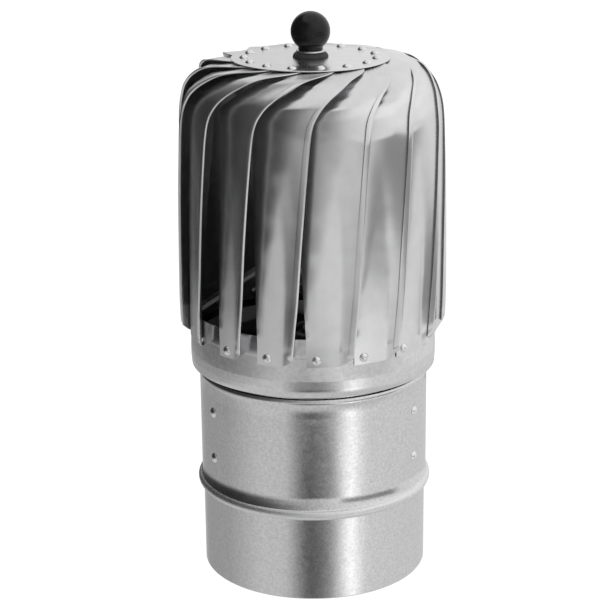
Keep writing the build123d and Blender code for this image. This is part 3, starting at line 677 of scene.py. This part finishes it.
def surround_material():
    m, n, l = new_mat("surround")
    out = n.new("ShaderNodeOutputMaterial")
    e = n.new("ShaderNodeEmission")
    tc = n.new("ShaderNodeTexCoord")
    sep = n.new("ShaderNodeSeparateXYZ")
    l.new(tc.outputs["Object"], sep.inputs[0])
    neg = node(n, "ShaderNodeMath", _operation="MULTIPLY")
    neg.inputs[1].default_value = -1.0
    l.new(sep.outputs["Y"], neg.inputs[0])
    at2 = node(n, "ShaderNodeMath", _operation="ARCTAN2")
    l.new(sep.outputs["X"], at2.inputs[0]); l.new(neg.outputs[0], at2.inputs[1])
    mr = n.new("ShaderNodeMapRange")
    mr.inputs["From Min"].default_value = -math.pi
    mr.inputs["From Max"].default_value = math.pi
    l.new(at2.outputs[0], mr.inputs["Value"])

    def az_ramp(stops):
        r = ramp(n, [((a + 180.0) / 360.0, v) for a, v in stops])
        l.new(mr.outputs[0], r.inputs[0])
        return r

    low = az_ramp(LOW)
    rim = az_ramp(RING)
    mid = az_ramp(MID)
    high = az_ramp(HIGH)
    midup = az_ramp(MIDUP)
    up = az_ramp(UP)

    # height on the wall in the direction of the point, so the lid carries on where the wall ends
    flat = n.new("ShaderNodeCombineXYZ")
    l.new(sep.outputs["X"], flat.inputs["X"]); l.new(sep.outputs["Y"], flat.inputs["Y"])
    away = n.new("ShaderNodeVectorMath"); away.operation = "LENGTH"
    l.new(flat.outputs[0], away.inputs[0])
    slope = node(n, "ShaderNodeMath", _operation="DIVIDE")
    l.new(sep.outputs["Z"], slope.inputs[0]); l.new(away.outputs["Value"], slope.inputs[1])
    level = node(n, "ShaderNodeMath", _operation="MULTIPLY")
    l.new(slope.outputs[0], level.inputs[0])
    level.inputs[1].default_value = DR

    def by_height(z0, z1):
        r = n.new("ShaderNodeMapRange")
        r.interpolation_type = "SMOOTHSTEP"
        r.inputs["From Min"].default_value = z0
        r.inputs["From Max"].default_value = z1
        l.new(level.outputs[0], r.inputs["Value"])
        return r

    def mix(f, a, b):
        x = n.new("ShaderNodeMix"); x.data_type = "RGBA"
        l.new(f.outputs[0], x.inputs["Factor"])
        l.new(a, x.inputs["A"]); l.new(b, x.inputs["B"])
        return x.outputs["Result"]

    c = mix(by_height(-0.90, -0.83), low.outputs[0], rim.outputs[0])
    c = mix(by_height(-0.80, -0.66), c, mid.outputs[0])
    c = mix(by_height(-0.58, -0.36), c, high.outputs[0])
    c = mix(by_height(0.1, 0.5), c, midup.outputs[0])
    c = mix(by_height(1.3, 2.2), c, up.outputs[0])
    top = n.new("ShaderNodeRGB"); top.outputs[0].default_value = (TOP,) * 3 + (1,)
    c = mix(by_height(3.9, 5.8), c, top.outputs[0])
    deep = n.new("ShaderNodeRGB"); deep.outputs[0].default_value = (0.6, 0.6, 0.6, 1)
    c = mix(by_height(-2.4, -1.7), deep.outputs[0], c)
    # one grey panel to the right
    card = az_ramp([(24, 1.0), (30, CARD), (80, CARD), (92, 1.0)])
    gate = ramp(n, [(0.0, 0.0), (0.10, 1.0), (0.93, 1.0), (0.97, 0.0)])
    g = n.new("ShaderNodeMapRange")
    g.inputs["From Min"].default_value = -0.69
    g.inputs["From Max"].default_value = 0.12
    l.new(sep.outputs["Z"], g.inputs["Value"])
    l.new(g.outputs[0], gate.inputs[0])
    one = n.new("ShaderNodeRGB"); one.outputs[0].default_value = (1, 1, 1, 1)
    cm = n.new("ShaderNodeMix"); cm.data_type = "RGBA"
    l.new(gate.outputs[0], cm.inputs["Factor"]); l.new(one.outputs[0], cm.inputs["A"]); l.new(card.outputs[0], cm.inputs["B"])
    mul = n.new("ShaderNodeMix"); mul.data_type = "RGBA"; mul.blend_type = "MULTIPLY"
    mul.inputs["Factor"].default_value = 1.0
    l.new(c, mul.inputs["A"]); l.new(cm.outputs["Result"], mul.inputs["B"])
    l.new(mul.outputs["Result"], e.inputs["Color"])
    e.inputs["Strength"].default_value = 1.0
    l.new(e.outputs[0], out.inputs[0])
    m.cycles.emission_sampling = "NONE"
    return m


LOW = [(-180, 0.60), (-146, 0.36), (-97, 0.40), (-75, 0.52), (-55, 0.64), (-29, 0.62), (-20, 0.36), (-10, 0.10), (0, 0.08),
       (12, 0.20), (21, 0.45), (29, 0.95), (38, 1.45), (46, 1.0), (55, 0.75), (98, 0.70), (148, 0.66), (180, 0.60)]
RING = [(-180, 0.28), (-134, 0.28), (-100, 0.28), (-75, 0.34), (-50, 0.44), (-28, 0.56), (-10, 0.56), (8, 0.66), (30, 0.85),
        (60, 0.80), (100, 0.80), (150, 0.74), (165, 0.55), (180, 0.28)]
MID = [(-180, 0.10), (-155, 0.08), (-134, 0.065), (-112, 0.05), (-98, 0.07), (-80, 0.13), (-60, 0.28), (-45, 0.46), (-28, 0.58),
       (-16, 0.58), (-6, 0.56), (2, 0.62), (8, 0.72), (16, 0.80), (30, 0.84), (45, 0.80), (60, 0.72), (90, 0.76),
       (130, 0.82), (150, 0.78), (165, 0.62), (173, 0.35), (180, 0.10)]
HIGH = [(-180, 0.10), (-155, 0.08), (-134, 0.05), (-112, 0.035), (-98, 0.03), (-86, 0.03), (-74, 0.045), (-62, 0.07), (-50, 0.12),
        (-40, 0.20), (-30, 0.32), (-20, 0.42), (-6, 0.44), (2, 0.50), (8, 0.60), (16, 0.72), (30, 0.84), (45, 0.80), (60, 0.74), (90, 0.76),
        (130, 0.82), (150, 0.78), (165, 0.62), (173, 0.35), (180, 0.10)]
MIDUP = [(-180, 0.72), (-160, 0.66), (-148, 0.12), (-134, 0.04), (-112, 0.035), (-98, 0.03), (-80, 0.035), (-60, 0.05),
         (-40, 0.10), (-20, 0.26), (-8, 0.42), (2, 0.52), (20, 0.70), (45, 0.84), (90, 0.88), (150, 0.86), (168, 0.86), (180, 0.80)]
UP = [(-180, 0.78), (-160, 0.66), (-148, 0.20), (-134, 0.06), (-100, 0.04), (-70, 0.05), (-45, 0.09), (-30, 0.16), (-20, 0.28),
      (-8, 0.45), (2, 0.62), (12, 0.80), (24, 0.90), (50, 0.95), (90, 0.95), (130, 0.90), (160, 0.86), (180, 0.82)]
TOP = 0.80
CARD = 0.33

bpy.ops.mesh.primitive_cylinder_add(vertices=128, radius=DR, depth=7.0, end_fill_type="NGON", location=(0, 0, 0.2))
surround = bpy.context.object
surround.name = "surround"
surround.data.transform(Matrix.Translation((0, 0, 0.2)))
surround.location = (0, 0, 0)
surround.data.materials.append(surround_material())
surround.visible_camera = False
surround.visible_diffuse = False
surround.visible_shadow = False
surround.visible_transmission = False

world = bpy.data.worlds.new("world")
scene.world = world
world.use_nodes = True
bg = world.node_tree.nodes.get("Background") or world.node_tree.nodes.new("ShaderNodeBackground")
bg.inputs["Color"].default_value = (1.0, 1.0, 1.0, 1)
bg.inputs["Strength"].default_value = 0.95


def area(name, loc, target, size, power):
    li = bpy.data.lights.new(name, "AREA")
    li.shape = "SQUARE"; li.size = size; li.energy = power
    ob = bpy.data.objects.new(name, li)
    ob.location = loc
    ob.rotation_euler = (Vector(target) - Vector(loc)).to_track_quat("-Z", "Y").to_euler()
    ob.visible_glossy = False
    ob.visible_camera = False
    scene.collection.objects.link(ob)
    return ob


area("key", (1.4, -1.2, 1.9), (0, 0, 0.2), 1.4, 30.0)
area("fill", (-1.6, -1.4, 1.4), (0, 0, 0.2), 1.6, 10.0)

# --------------------------------------------------------------------------
# camera, for a picture of 616 x 616
# --------------------------------------------------------------------------
IMG = 616
cam_data = bpy.data.cameras.new("camera")
cam_data.sensor_width = 36.0
cam_data.sensor_fit = "HORIZONTAL"
cam_data.lens = 1854.4795 * 36.0 / IMG
cam_data.shift_x = -(312.7504 - IMG / 2) / IMG
cam_data.clip_start, cam_data.clip_end = 0.05, 200.0
cam = bpy.data.objects.new("camera", cam_data)
scene.collection.objects.link(cam)
cam.location = (0.0, -1.1602045, 0.5459767)
cam.rotation_mode = "XYZ"
rot = Matrix.Rotation(math.radians(90.0) - 0.3102, 4, "X") @ Matrix.Rotation(-0.0085, 4, "Z")
cam.rotation_euler = rot.to_euler("XYZ")
scene.camera = cam
scene.view_settings.view_transform = "Standard"
scene.view_settings.look = "None"
